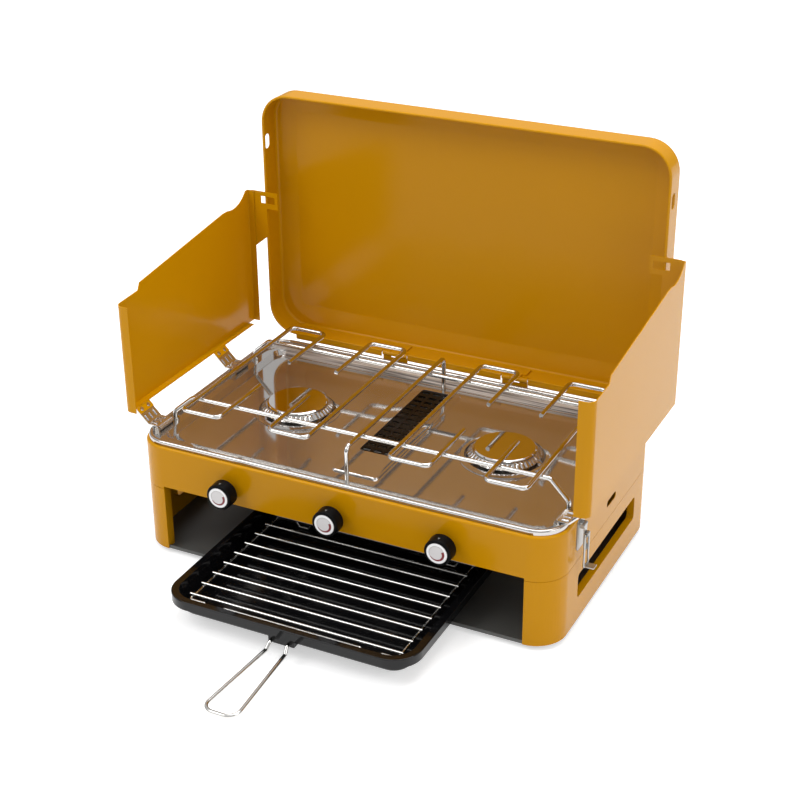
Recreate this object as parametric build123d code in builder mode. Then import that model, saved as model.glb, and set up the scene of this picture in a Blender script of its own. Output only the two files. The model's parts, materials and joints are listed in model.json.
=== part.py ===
# Two burner camping stove with a grill under the hob
# Millimetres, +X to the right, +Y to the rear, +Z up
# The origin is the centre of the base tray's underside
import os
from math import atan2, degrees, radians, sqrt, tan

from build123d import *

os.makedirs("parts", exist_ok=True)

# Housing
body_w = 500.0
body_d = 302.0
corner_r = 35.0
sheet = 1.0
seam_z = 77.0
seam_gap = 0.5
band_top = 129.7
band_flange = 7.0
band_edge_r = 3.0
joggle_h = 7.0
post_return = 12.0
front_return = 8.0
front_low = 80.0
window_front = -88.0
window_rear = 92.0
window_low = 28.0
window_high = 57.0
window_r = 5.0
window_lip = 7.0
side_slot_y = 8.0
side_slot_z = 97.0
side_slot_l = 28.0
side_slot_h = 8.0
seat_gap = 0.2

# Base tray and feet
tray_sheet = 1.0
tray_lip_h = 4.0
runner_x = 105.0
runner_w = 10.0
runner_l = 280.0
runner_h = 4.0
foot_h = 6.0
foot_r = 6.0
foot_x = 241.5
foot_y = 84.0

# Hob tray
hob_sheet = 0.8
rim_out = 3.0
rim_in = 8.5
rim_top = 135.5
rim_r = 2.4
ledge_z = 130.0
basin_in = 22.0
basin_z = 124.0
basin_draft = 35.0
vent_w = 40.0
vent_front = -56.0
vent_rear = 108.0
vent_sheet = 1.0
vent_lap = 3.0
vent_rows = 14
vent_columns = 3
boss_w = 56.0
boss_front = -107.0
boss_rear = 113.0
boss_h = 2.0
boss_draft = 35.0

# Burners
knob_x = 129.0
burner_y = 1.0
well_hole = 46.0
well_r = 50.0
well_wall_r = 45.2
well_z = 116.0
well_bead_h = 2.6
cup_r = 30.0
cup_wall = 3.0
cup_z = 88.0
cup_flange_r = 36.0
cup_flange_t = 1.5
head_r = 41.0
head_z = 127.0
head_top = 134.0
head_slots = 44
slot_w = 1.6
slot_l = 5.2
slot_depth = 1.2
cap_r = 34.5
cap_t = 3.0
cap_gap = 0.3

# Knobs, valves and gas pipes
knob_z = 99.0
knob_r = 15.2
knob_len = 14.0
knob_gap = 9.0
knob_edge_r = 1.6
dial_r = 11.7
dial_t = 0.8
stem_r = 3.0
stem_gap = 0.2
valve_w = 20.0
valve_h = 20.0
valve_l = 26.0
collar_r = 6.5
spigot_r = 4.4
spigot_l = 6.0
supply_r = 6.0
supply_wall = 1.2
rail_r = 4.0
rail_bend = 14.0
rail_turn_x = 200.0
inlet_y = -70.0
nozzle_r = 4.0
nozzle_l = 18.0
nut_r = 8.0

# Grill burner and its hood
hood_w = 195.0
hood_front = -48.0
hood_rear = 118.0
hood_low = 80.5
hood_top = 114.0
chamber_w = 164.0
chamber_front = -30.0
chamber_rear = 96.0
chamber_low = 89.0
chamber_top = 111.0
tab_w = 24.0

# Lid, drawn open at a right angle to the hob
lid_low = 142.0
lid_depth = 36.0
lid_front = 149.0
lid_hem = 3.0
lid_edge_r = 9.0
closed_rim = 139.0
latch_slot_l = 18.0
latch_slot_h = 11.0
latch_slot_shift = 2.5

# Lid hinges
hinge_x = 78.0
knuckle_r = 3.0
hinge_pin_r = 1.5
pin_gap = 0.1
hinge_w = 32.0
lid_knuckle_w = 11.0
leaf_t = 1.5
leaf_end_y = 175.0
bracket_low = 104.0
screw_r = 3.0
screw_h = 1.5

# Wind shields
shield_in = 272.0
shield_front = -133.0
shield_rear = 147.5
shield_low = 153.0
shield_front_top = 280.0
shield_step_y = -86.0
shield_step = 10.0
shield_back_top = 311.0
shield_back_y = 94.0
shield_tab_top = 323.0
front_flange = 16.0
rear_flange = 9.0
low_flange = 8.0
bend_r = 8.0
catch_t = 1.0
catch_in = 232.0
catch_low = 250.0
catch_gap = 0.1
catch_slot_l = 19.0
catch_slot_h = 9.0

# Shield straps and their pivots on the hob's side rims
pivot_x = 237.0
pivot_z = 134.0
barrel_r = 3.5
barrel_bore = 1.8
shield_pin_r = 1.5
strap_w = 25.0
strap_t = 1.5
strap_front_y = -110.0
strap_rear_y = 52.0
strap_rib_w = 3.0
strap_rib_h = 0.8
strap_rib_pitch = 8.0
tab_drop = 6.0
rivet_r = 1.5
rivet_head_r = 2.5
rivet_head_t = 0.8
ear_t = 1.5
ear_gap = 0.4
ear_half = 3.0

# Pan support
rod_r = 2.5
rod_z = 165.0
rod_bend = 7.0
weld = 0.4
support_end_y = 122.0
outer_rod_x = 203.0
outer_stub_x = 157.0
inner_stub_x = 95.0
inner_rod_x = 48.5
stub_end_y = 33.0
cross_y = 84.0
cross_x = 214.0
cross_foot_x = 236.5
cross_foot_y = 88.0
cross_knee_z = 141.0
clip_r = 4.2
clip_h = 3.5
clip_gap = 0.4
stand_gap = 0.3

# Grill pan, drawn out of the grill
pan_w = 290.0
pan_l = 236.0
pan_front = -272.0
pan_h = 24.0
pan_sheet = 1.2
pan_corner = 32.0
pan_rim = 7.0
pan_draft = 14.0
pan_skirt = 10.0
pan_floor_r = 6.0
pan_gap = 0.3

# Pan rack
rack_w = 250.0
rack_rods = 9
rack_pitch = 22.3
rack_wire_r = 1.5
rack_rise = 13.8
rack_side_x = 122.0
rack_end = 96.0
rack_foot_x = 92.0
rack_foot_w = 12.0
rack_foot_run = 6.0
rack_bend = 2.5

# Pan handle
handle_r = 2.2
handle_root_x = 10.0
handle_tip_x = 19.0
handle_tip_y = -392.0
handle_z = 14.0
handle_drop = 6.0
socket_w = 30.0
socket_l = 8.0
socket_h = 8.0

# Toggle latches
latch_y = -90.0
latch_w = 20.0
latch_base_t = 1.2
latch_low = 92.0
latch_high = 127.0
lever_x = 254.5
lever_z = 120.0
lever_r = 2.0
lever_w = 7.6
lever_end_z = 97.0
bail_x = 258.0
bail_z = 110.0
bail_half = 6.0
bail_len = 37.0
bail_r = 1.1
tongue_l = 10.5
tongue_w = 9.0
tongue_t = 1.2

# Places that follow from the sizes above
sides = {"left": -1, "right": 1}
knobs = {"left": -knob_x, "grill": 0.0, "right": knob_x}
front_y = -body_d / 2
opening_half = body_w / 2 - corner_r
well_floor_z = well_z + hob_sheet
hob_under = basin_z - hob_sheet
vent_z = hob_under + boss_h - vent_sheet
panel_in_y = front_y + sheet
valve_front = panel_in_y + seat_gap
valve_rear = valve_front + valve_l
rail_y = (valve_front + valve_rear) / 2
rail_z = knob_z + valve_h / 2 + rail_r + seat_gap
hinge_z = (body_d / 2 + lid_low + closed_rim - lid_front) / 2
hinge_y = body_d / 2 + lid_low - hinge_z
lid_mid_z = lid_low + body_d / 2
slot_y = hinge_y - hinge_z + bail_z + bail_len + latch_slot_shift
slot_z = hinge_y + hinge_z - latch_y
shield_out = shield_in + sheet
pan_y = pan_front + pan_l / 2
pan_low = tray_sheet + runner_h + pan_gap
pan_floor = pan_low + pan_sheet
pan_top = pan_low + pan_h
rack_z = pan_floor + rack_rise
draft_run = pan_h * tan(radians(pan_draft))


def outline(inset=0.0, mode=Mode.ADD):
    """Rounded plan outline of the housing, drawn in from its edge."""
    RectangleRounded(body_w - 2 * inset, body_d - 2 * inset, corner_r - inset, mode=mode)


def ring(low, high, outer, inner):
    """Upright band that follows the housing's outline between two insets."""
    with BuildSketch(Plane.XY.offset(low)) as band:
        outline(outer)
        outline(inner, Mode.SUBTRACT)
    extrude(band.sketch, amount=high - low)


def across(side, y):
    """Plane across the part at y, with its first axis pointing out to one side."""
    return Plane(origin=(0, y, 0), x_dir=(side, 0, 0), z_dir=(0, -side, 0))


def plan(side, z):
    """Level plane at z, with its first axis pointing out to one side."""
    return Plane(origin=(0, 0, z), x_dir=(side, 0, 0), z_dir=(0, 0, side))


def ahead(x, y, z):
    """Upright plane at a point, facing the front."""
    return Plane(origin=(x, y, z), x_dir=(1, 0, 0), z_dir=(0, -1, 0))


def block(x, y, z, mode=Mode.ADD):
    """Box given by its two limits along each axis."""
    with Locations(((x[0] + x[1]) / 2, (y[0] + y[1]) / 2, (z[0] + z[1]) / 2)):
        Box(abs(x[1] - x[0]), abs(y[1] - y[0]), abs(z[1] - z[0]), mode=mode)


def wire(points, radius, bends, closed=False):
    """Round wire bent along its points."""
    with BuildLine() as path:
        FilletPolyline(*points, radius=bends, close=closed)
    with BuildSketch(Plane(origin=path.line @ 0, z_dir=path.line % 0)) as section:
        Circle(radius)
    sweep(sections=section.sketch, path=path.line)


# Base housing: a skirt with an open front, two corner posts and a window in each side
with BuildPart() as base_housing:
    ring(0, seam_z, 0, sheet)
    ring(seam_z - joggle_h, seam_z + joggle_h, sheet, 2 * sheet)
    block(
        (-opening_half, opening_half),
        (front_y - sheet, front_y + 3 * sheet),
        (-sheet, seam_z + 2 * joggle_h),
        Mode.SUBTRACT,
    )
    for side in sides.values():
        block(
            (side * opening_half, side * (opening_half + sheet)),
            (front_y, front_y + post_return),
            (tray_sheet + seat_gap, seam_z),
        )
    window_plane = Plane.YZ
    window_at = ((window_front + window_rear) / 2, (window_low + window_high) / 2)
    window_l = window_rear - window_front
    window_h = window_high - window_low
    for side in sides.values():
        with BuildSketch(window_plane.offset(side * (body_w / 2 - sheet - window_lip))):
            with Locations(window_at):
                RectangleRounded(window_l + 2 * sheet, window_h + 2 * sheet, window_r + sheet)
        extrude(amount=side * (window_lip + sheet / 2))
    with BuildSketch(window_plane):
        with Locations(window_at):
            RectangleRounded(window_l, window_h, window_r)
    extrude(amount=body_w, both=True, mode=Mode.SUBTRACT)
base_housing.part.label = "base_housing"
export_step(base_housing.part, "parts/base_housing.step")

# Base tray: floor of the grill compartment with a front lip and two pressed runners
with BuildPart() as base_tray:
    with BuildSketch():
        outline(sheet + seat_gap)
    extrude(amount=tray_sheet)
    block(
        (-opening_half + seat_gap, opening_half - seat_gap),
        (panel_in_y + seat_gap, panel_in_y + seat_gap + tray_sheet),
        (0, tray_lip_h),
    )
    with BuildSketch(Plane.XY.offset(tray_sheet)):
        with Locations((-runner_x, 0), (runner_x, 0)):
            SlotOverall(runner_l, runner_w, rotation=90)
    extrude(amount=runner_h)
    fillet(base_tray.edges().group_by(Axis.Z)[-1], runner_h / 2)
base_tray.part.label = "base_tray"
export_step(base_tray.part, "parts/base_tray.step")

# Rubber feet near the side edges
with BuildPart() as rubber_feet:
    with Locations(Plane.XY.offset(-foot_h / 2)):
        with GridLocations(2 * foot_x, 2 * foot_y, 2, 2):
            Cone(0.8 * foot_r, foot_r, foot_h)
rubber_feet.part.label = "rubber_feet"
export_step(rubber_feet.part, "parts/rubber_feet.step")

# Upper housing: band with knob holes, a slot in each side and a rounded, turned-in top edge
with BuildPart() as upper_housing:
    with BuildSketch(Plane.XY.offset(seam_z + seam_gap)):
        outline()
    extrude(amount=band_top - seam_z - seam_gap)
    fillet(upper_housing.faces().sort_by(Axis.Z)[-1].outer_wire().edges(), band_edge_r)
    offset(amount=-sheet, openings=upper_housing.faces().sort_by(Axis.Z)[0])
    with BuildSketch(Plane.XY.offset(band_top)):
        outline(band_flange)
    extrude(amount=-2 * sheet, mode=Mode.SUBTRACT)
    block(
        (-opening_half, opening_half),
        (front_y - sheet, front_y + 2 * sheet),
        (seam_z, front_low),
        Mode.SUBTRACT,
    )
    block(
        (-opening_half, opening_half),
        (front_y + sheet / 2, front_y + front_return),
        (front_low, front_low + sheet),
    )
    for x in knobs.values():
        with BuildSketch(ahead(x, panel_in_y + sheet, knob_z)):
            Circle(collar_r + seat_gap)
        extrude(amount=3 * sheet, mode=Mode.SUBTRACT)
    with BuildSketch(Plane.YZ.offset(-body_w / 2 - sheet)):
        with Locations((inlet_y, rail_z)):
            Circle(nozzle_r + seat_gap)
    extrude(amount=3 * sheet, mode=Mode.SUBTRACT)
    with BuildSketch(Plane.YZ):
        with Locations((side_slot_y, side_slot_z)):
            SlotOverall(side_slot_l, side_slot_h)
    extrude(amount=body_w, both=True, mode=Mode.SUBTRACT)
upper_housing.part.label = "upper_housing"
export_step(upper_housing.part, "parts/upper_housing.step")

# Hob tray: bead rim, ledge and drafted basin with burner openings and a raised vent boss
with BuildPart() as hob_tray:
    ring(band_top, rim_top, rim_out, rim_in)
    fillet(hob_tray.edges().group_by(Axis.Z)[-1], rim_r)
    ring(ledge_z - hob_sheet, ledge_z, band_flange + seat_gap, basin_in)
    with BuildSketch(Plane.XY.offset(ledge_z)):
        outline(basin_in - hob_sheet)
    extrude(amount=hob_under - ledge_z, taper=basin_draft)
    with BuildSketch(Plane.XY.offset(ledge_z)):
        outline(basin_in)
    extrude(amount=basin_z - ledge_z, taper=basin_draft, mode=Mode.SUBTRACT)
    boss_at = (0, (boss_front + boss_rear) / 2)
    boss_l = boss_rear - boss_front
    with BuildSketch(Plane.XY.offset(basin_z)):
        with Locations(boss_at):
            RectangleRounded(boss_w, boss_l, 5)
    extrude(amount=boss_h, taper=boss_draft)
    with BuildSketch(Plane.XY.offset(hob_under)):
        with Locations(boss_at):
            RectangleRounded(boss_w - hob_sheet, boss_l - hob_sheet, 4)
    extrude(amount=boss_h, taper=boss_draft, mode=Mode.SUBTRACT)
    with BuildSketch(Plane.XY.offset(basin_z + boss_h)):
        with Locations((-knob_x, burner_y), (knob_x, burner_y)):
            Circle(well_hole)
        with Locations((0, (vent_front + vent_rear) / 2)):
            RectangleRounded(vent_w, vent_rear - vent_front, 4)
    extrude(amount=-2 * boss_h, mode=Mode.SUBTRACT)
hob_tray.part.label = "hob_tray"
export_step(hob_tray.part, "parts/hob_tray.step")

# Grill vent: slotted plate under the opening in the boss
with BuildPart() as grill_vent:
    vent_mid = (vent_front + vent_rear) / 2
    vent_l = vent_rear - vent_front
    with BuildSketch(Plane.XY.offset(vent_z)):
        with Locations((0, vent_mid)):
            Rectangle(vent_w + 2 * vent_lap, vent_l + 2 * vent_lap)
            with GridLocations(vent_w / vent_columns, vent_l / vent_rows, vent_columns, vent_rows):
                Rectangle(0.7 * vent_w / vent_columns, 0.4 * vent_l / vent_rows, mode=Mode.SUBTRACT)
    extrude(amount=vent_sheet)
grill_vent.part.label = "grill_vent"
export_step(grill_vent.part, "parts/grill_vent.step")

# The two hob burners: beaded well, gas cup, slotted conical head and loose cap
well_bead_z = basin_z + well_bead_h
head_low = head_z + 2
head_cone_r = cap_r + 1
head_cone_angle = degrees(atan2(head_top - head_low, head_r - head_cone_r))
for name, side in sides.items():
    axis = Axis((side * knob_x, burner_y, 0), (0, 0, 1))
    section = Plane(origin=(side * knob_x, burner_y, 0), x_dir=(1, 0, 0), z_dir=(0, -1, 0))

    with BuildPart() as well:
        with BuildSketch(section):
            with BuildLine():
                Polyline(
                    (cup_r + 1, well_z),
                    (well_wall_r, well_z),
                    (well_wall_r, well_bead_z - hob_sheet),
                    (well_r - 2.6, well_bead_z - hob_sheet),
                    (well_r - 1, basin_z),
                    (well_r, basin_z),
                    (well_r, basin_z + hob_sheet),
                    (well_r - 0.6, basin_z + hob_sheet),
                    (well_r - 2.2, well_bead_z),
                    (well_wall_r - hob_sheet, well_bead_z),
                    (well_wall_r - hob_sheet, well_floor_z),
                    (cup_r + 1, well_floor_z),
                    close=True,
                )
            make_face()
        revolve(axis=axis)
    well.part.label = name + "_burner_well"
    export_step(well.part, "parts/" + name + "_burner_well.step")

    with BuildPart() as cup:
        with BuildSketch(section):
            with BuildLine():
                Polyline(
                    (0, cup_z),
                    (cup_r, cup_z),
                    (cup_r, well_floor_z),
                    (cup_flange_r, well_floor_z),
                    (cup_flange_r, well_floor_z + cup_flange_t),
                    (cup_r, well_floor_z + cup_flange_t),
                    (cup_r, head_z),
                    (cup_r - cup_wall, head_z),
                    (cup_r - cup_wall, cup_z + cup_wall),
                    (0, cup_z + cup_wall),
                    close=True,
                )
            make_face()
        revolve(axis=axis)
        with BuildSketch(ahead(side * knob_x, burner_y, knob_z)):
            Circle(supply_r + seat_gap)
        extrude(amount=2 * cup_r, mode=Mode.SUBTRACT)
    cup.part.label = name + "_burner_cup"
    export_step(cup.part, "parts/" + name + "_burner_cup.step")

    with BuildPart() as head:
        with BuildSketch(section):
            with BuildLine():
                Polyline(
                    (cup_r - 2 * cup_wall, head_z - 5),
                    (cup_r - cup_wall - seat_gap, head_z - 5),
                    (cup_r - cup_wall - seat_gap, head_z),
                    (head_r - 2, head_z),
                    (head_r, head_low),
                    (head_cone_r, head_top),
                    (cup_r - 2 * cup_wall, head_top),
                    close=True,
                )
            make_face()
        revolve(axis=axis)
        with Locations((side * knob_x, burner_y, (head_low + head_top) / 2)):
            with PolarLocations((head_cone_r + head_r) / 2, head_slots):
                with Locations(Location((0, 0, 0), (0, head_cone_angle, 0))):
                    Box(slot_l, slot_w, 2 * slot_depth, mode=Mode.SUBTRACT)
    head.part.label = name + "_burner_head"
    export_step(head.part, "parts/" + name + "_burner_head.step")

    with BuildPart() as cap:
        with BuildSketch(section):
            with BuildLine():
                Polyline(
                    (0, head_top + cap_gap),
                    (cup_r - 3 * cup_wall, head_top + cap_gap),
                    (cup_r - 3 * cup_wall, head_top - cap_t),
                    (cup_r - 2 * cup_wall - 2 * cap_gap, head_top - cap_t),
                    (cup_r - 2 * cup_wall - 2 * cap_gap, head_top + cap_gap),
                    (cap_r, head_top + cap_gap),
                    (cap_r, head_top + cap_gap + 0.5 * cap_t),
                    (cap_r - 2, head_top + cap_gap + cap_t),
                    (0, head_top + cap_gap + cap_t),
                    close=True,
                )
            make_face()
        revolve(axis=axis)
    cap.part.label = name + "_burner_cap"
    export_step(cap.part, "parts/" + name + "_burner_cap.step")

# Behind each knob: valve with a front collar and rear spigot, stem, knob and dial disc
for name, x in knobs.items():
    knob_back = front_y - knob_gap
    knob_front = knob_back - knob_len
    bore_end = valve_front + valve_l / 2

    with BuildPart() as valve:
        block(
            (x - valve_w / 2, x + valve_w / 2),
            (valve_front, valve_rear),
            (knob_z - valve_h / 2, knob_z + valve_h / 2),
        )
        chamfer(valve.edges().filter_by(Axis.Y), 3)
        with BuildSketch(ahead(x, valve_front, knob_z)):
            Circle(collar_r)
        extrude(amount=2 * sheet)
        with BuildSketch(ahead(x, valve_rear + spigot_l, knob_z)):
            Circle(spigot_r)
        extrude(amount=spigot_l)
        with BuildSketch(ahead(x, bore_end, knob_z)):
            Circle(stem_r + stem_gap)
        extrude(amount=valve_l, mode=Mode.SUBTRACT)
    valve.part.label = name + "_valve"
    export_step(valve.part, "parts/" + name + "_valve.step")

    with BuildPart() as stem:
        with BuildSketch(ahead(x, bore_end - 1, knob_z)):
            Circle(stem_r)
        extrude(amount=bore_end - 1 - knob_front - 5)
    stem.part.label = name + "_valve_stem"
    export_step(stem.part, "parts/" + name + "_valve_stem.step")

    with BuildPart() as knob:
        with BuildSketch(ahead(x, knob_back, knob_z)):
            Circle(knob_r)
        extrude(amount=knob_len, taper=2)
        fillet(knob.edges().group_by(Axis.Y)[0], knob_edge_r)
        with BuildSketch(ahead(x, knob_front + dial_t, knob_z)):
            Circle(dial_r)
        extrude(amount=2 * dial_t, mode=Mode.SUBTRACT)
        with BuildSketch(ahead(x, knob_back + 1, knob_z)):
            Circle(stem_r + stem_gap)
        extrude(amount=knob_len - 4, mode=Mode.SUBTRACT)
    knob.part.label = name + "_knob"
    export_step(knob.part, "parts/" + name + "_knob.step")

    with BuildPart() as dial:
        with BuildSketch(ahead(x, knob_front + dial_t, knob_z)):
            Circle(dial_r - seat_gap)
        extrude(amount=dial_t + 0.2)
    dial.part.label = name + "_knob_dial"
    export_step(dial.part, "parts/" + name + "_knob_dial.step")

# Supply tubes from the valves to the hob burners and the grill burner
supply_ends = {"left": burner_y - cup_r + cup_wall / 2, "grill": chamber_front + 1.5 * sheet}
supply_ends["right"] = supply_ends["left"]
for name, x in knobs.items():
    supply_start = valve_rear + seat_gap
    with BuildPart() as tube:
        with BuildSketch(ahead(x, supply_ends[name], knob_z)):
            Circle(supply_r)
            Circle(supply_r - supply_wall, mode=Mode.SUBTRACT)
        extrude(amount=supply_ends[name] - supply_start)
    tube.part.label = name + "_supply_tube"
    export_step(tube.part, "parts/" + name + "_supply_tube.step")

# Gas rail on top of the valves, bent to the inlet in the left side
with BuildPart() as gas_rail:
    inlet_in = body_w / 2 - sheet - 6
    wire(
        (
            (knob_x + valve_w / 2, rail_y, rail_z),
            (-rail_turn_x, rail_y, rail_z),
            (-rail_turn_x, inlet_y, rail_z),
            (-inlet_in, inlet_y, rail_z),
        ),
        rail_r,
        rail_bend,
    )
gas_rail.part.label = "gas_rail"
export_step(gas_rail.part, "parts/gas_rail.step")

# Gas inlet: nozzle for a hose, with a nut on each side of the panel
with BuildPart() as gas_inlet:
    inlet_plane = Plane.YZ.offset(-body_w / 2)
    with BuildSketch(inlet_plane.offset(-seat_gap)):
        with Locations((inlet_y, rail_z)):
            RegularPolygon(nut_r, 6)
    extrude(amount=-5)
    with BuildSketch(inlet_plane.offset(sheet + seat_gap)):
        with Locations((inlet_y, rail_z)):
            RegularPolygon(nut_r, 6)
    extrude(amount=5)
    with BuildSketch(inlet_plane.offset(sheet + 5)):
        with Locations((inlet_y, rail_z)):
            Circle(nozzle_r)
    extrude(amount=-(sheet + 10 + nozzle_l))
    with BuildSketch(inlet_plane.offset(sheet + 8)):
        with Locations((inlet_y, rail_z)):
            Circle(nozzle_r - 1.5)
    extrude(amount=-2 * body_w, mode=Mode.SUBTRACT)
gas_inlet.part.label = "gas_inlet"
export_step(gas_inlet.part, "parts/gas_inlet.step")

# Heat shield: hood over the grill burner with a chimney up to the vent
with BuildPart() as heat_shield:
    neck_half = vent_w / 2 + sheet
    neck_rear = vent_rear + sheet
    block((-hood_w / 2, hood_w / 2), (hood_front, hood_rear), (hood_low, hood_top))
    block((-neck_half, neck_half), (hood_front, neck_rear), (hood_low, vent_z))
    block(
        (-hood_w / 2 + sheet, hood_w / 2 - sheet),
        (hood_front + sheet, hood_rear - sheet),
        (hood_low - sheet, hood_top - sheet),
        Mode.SUBTRACT,
    )
    block(
        (-neck_half + sheet, neck_half - sheet),
        (hood_front + sheet, neck_rear - sheet),
        (hood_low, vent_z + sheet),
        Mode.SUBTRACT,
    )
    with BuildSketch(ahead(0, hood_front + 2 * sheet, knob_z)):
        Circle(supply_r + seat_gap)
    extrude(amount=3 * sheet, mode=Mode.SUBTRACT)
heat_shield.part.label = "heat_shield"
export_step(heat_shield.part, "parts/heat_shield.step")

# Grill burner: shallow chamber, open below, carried by tabs on the hood's walls
with BuildPart() as grill_burner:
    chamber_y = (chamber_front + chamber_rear) / 2
    block(
        (-chamber_w / 2, chamber_w / 2),
        (chamber_front, chamber_rear),
        (chamber_low, chamber_top),
    )
    block(
        (-chamber_w / 2 + sheet, chamber_w / 2 - sheet),
        (chamber_front + sheet, chamber_rear - sheet),
        (chamber_low - sheet, chamber_top - sheet),
        Mode.SUBTRACT,
    )
    for side in sides.values():
        tab_end = side * (hood_w / 2 - sheet - seat_gap)
        tab_y = (chamber_y - tab_w / 2, chamber_y + tab_w / 2)
        block((side * chamber_w / 2, tab_end), tab_y, (chamber_low, chamber_low + sheet))
        block((tab_end - side * sheet, tab_end), tab_y, (chamber_low, chamber_low + 8 * sheet))
    with BuildSketch(ahead(0, chamber_front + 2 * sheet, knob_z)):
        Circle(supply_r + seat_gap)
    extrude(amount=3 * sheet, mode=Mode.SUBTRACT)
grill_burner.part.label = "grill_burner"
export_step(grill_burner.part, "parts/grill_burner.step")

# Grill burner mesh: slotted face of the chamber
with BuildPart() as grill_mesh:
    mesh_w = chamber_w - 2 * sheet - 2 * seat_gap
    mesh_l = chamber_rear - chamber_front - 2 * sheet - 2 * seat_gap
    with BuildSketch(Plane.XY.offset(chamber_low)):
        with Locations((0, chamber_y)):
            Rectangle(mesh_w, mesh_l)
            with GridLocations(mesh_w / 7, mesh_l / 12, 7, 12):
                Rectangle(0.7 * mesh_w / 7, 0.4 * mesh_l / 12, mode=Mode.SUBTRACT)
    extrude(amount=1.5 * sheet)
grill_mesh.part.label = "grill_burner_mesh"
export_step(grill_mesh.part, "parts/grill_burner_mesh.step")

# Lid hinge brackets on the rear of the housing, with two outer knuckles each
hinge_section = Plane.YZ
with BuildPart() as hinge_brackets:
    for side in sides.values():
        x = side * hinge_x
        half = hinge_w / 2
        block((x - half, x + half), (-front_y, -front_y + leaf_t), (bracket_low, hinge_z))
        with BuildSketch(hinge_section.offset(x - half)):
            with Locations((hinge_y, hinge_z)):
                Circle(knuckle_r)
        extrude(amount=hinge_w)
        cut_half = lid_knuckle_w / 2 + stand_gap
        block(
            (x - cut_half, x + cut_half),
            (hinge_y - 2 * knuckle_r, hinge_y + 2 * knuckle_r),
            (hinge_z - knuckle_r - 2, hinge_z + 2 * knuckle_r),
            Mode.SUBTRACT,
        )
        with BuildSketch(hinge_section.offset(x - half)):
            with Locations((hinge_y, hinge_z)):
                Circle(hinge_pin_r + pin_gap)
        extrude(amount=hinge_w, mode=Mode.SUBTRACT)
hinge_brackets.part.label = "lid_hinge_brackets"
export_step(hinge_brackets.part, "parts/lid_hinge_brackets.step")

# Hinge pins
with BuildPart() as hinge_pins:
    for side in sides.values():
        with BuildSketch(hinge_section.offset(side * hinge_x - hinge_w / 2)):
            with Locations((hinge_y, hinge_z)):
                Circle(hinge_pin_r)
        extrude(amount=hinge_w)
hinge_pins.part.label = "lid_hinge_pins"
export_step(hinge_pins.part, "parts/lid_hinge_pins.step")

# Screws of the hinge brackets
with BuildPart() as hinge_screws:
    for side in sides.values():
        for step in (-1, 1):
            head_at = (side * hinge_x + step * hinge_w / 4, -front_y + leaf_t + screw_h)
            with BuildSketch(ahead(head_at[0], head_at[1], bracket_low + 2.5 * screw_r)):
                Circle(screw_r)
            extrude(amount=screw_h)
hinge_screws.part.label = "hinge_screws"
export_step(hinge_screws.part, "parts/hinge_screws.step")

# Lid: pressed pan with a hemmed rim, standing open behind the hob
with BuildPart() as lid_shell:
    lid_plane = Plane(origin=(0, lid_front, lid_mid_z), x_dir=(1, 0, 0), z_dir=(0, 1, 0))
    with BuildSketch(lid_plane):
        outline()
    extrude(amount=lid_depth)
    fillet(lid_shell.edges().group_by(Axis.Y)[-1], lid_edge_r)
    offset(amount=-sheet, openings=lid_shell.faces().sort_by(Axis.Y)[0])
    with BuildSketch(lid_plane):
        outline()
        outline(lid_hem, Mode.SUBTRACT)
    extrude(amount=lid_hem)
    for side in sides.values():
        x = side * hinge_x
        block(
            (x - hinge_w / 2 - 1, x + hinge_w / 2 + 1),
            (lid_front - 1, hinge_y + 1.8 * knuckle_r),
            (lid_low - 1, lid_low + lid_hem + 1),
            Mode.SUBTRACT,
        )
    with BuildSketch(Plane.YZ):
        with Locations((slot_y, slot_z)):
            SlotOverall(latch_slot_l, latch_slot_h, rotation=90)
    extrude(amount=body_w, both=True, mode=Mode.SUBTRACT)
lid_shell.part.label = "lid_shell"
export_step(lid_shell.part, "parts/lid_shell.step")

# Hinge leaves inside the lid, each with the middle knuckle
with BuildPart() as lid_leaves:
    leaf_z = lid_low + sheet
    for side in sides.values():
        x = side * hinge_x
        half = lid_knuckle_w / 2
        block((x - half, x + half), (hinge_y, leaf_end_y), (leaf_z, leaf_z + leaf_t))
        block((x - 2 * half, x + 2 * half), (leaf_end_y - 15, leaf_end_y), (leaf_z, leaf_z + leaf_t))
        with BuildSketch(hinge_section.offset(x - half)):
            with Locations((hinge_y, hinge_z)):
                Circle(knuckle_r)
        extrude(amount=lid_knuckle_w)
        with BuildSketch(hinge_section.offset(x - half)):
            with Locations((hinge_y, hinge_z)):
                Circle(hinge_pin_r + 2 * pin_gap)
        extrude(amount=lid_knuckle_w, mode=Mode.SUBTRACT)
lid_leaves.part.label = "lid_hinge_leaves"
export_step(lid_leaves.part, "parts/lid_hinge_leaves.step")

# Shield catches: slotted plates on the lid's hem, next to the shields' rear edges
with BuildPart() as shield_catches:
    catch_out = shield_out - rear_flange - catch_gap
    catch_step = body_w / 2 - lid_hem
    catch_tab_low = shield_tab_top - 21
    for side in sides.values():
        with BuildSketch(across(side, lid_front - catch_t)):
            with BuildLine():
                Polyline(
                    (catch_out, catch_low),
                    (catch_out, shield_tab_top),
                    (catch_in, shield_tab_top),
                    (catch_in, catch_tab_low),
                    (catch_step, catch_tab_low),
                    (catch_step, catch_low + catch_out - catch_step),
                    close=True,
                )
            make_face()
            with Locations((catch_in + 4 + catch_slot_l / 2, shield_tab_top - 10)):
                Rectangle(catch_slot_l, catch_slot_h, mode=Mode.SUBTRACT)
        extrude(amount=-side * catch_t)
shield_catches.part.label = "shield_catches"
export_step(shield_catches.part, "parts/shield_catches.step")

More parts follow.
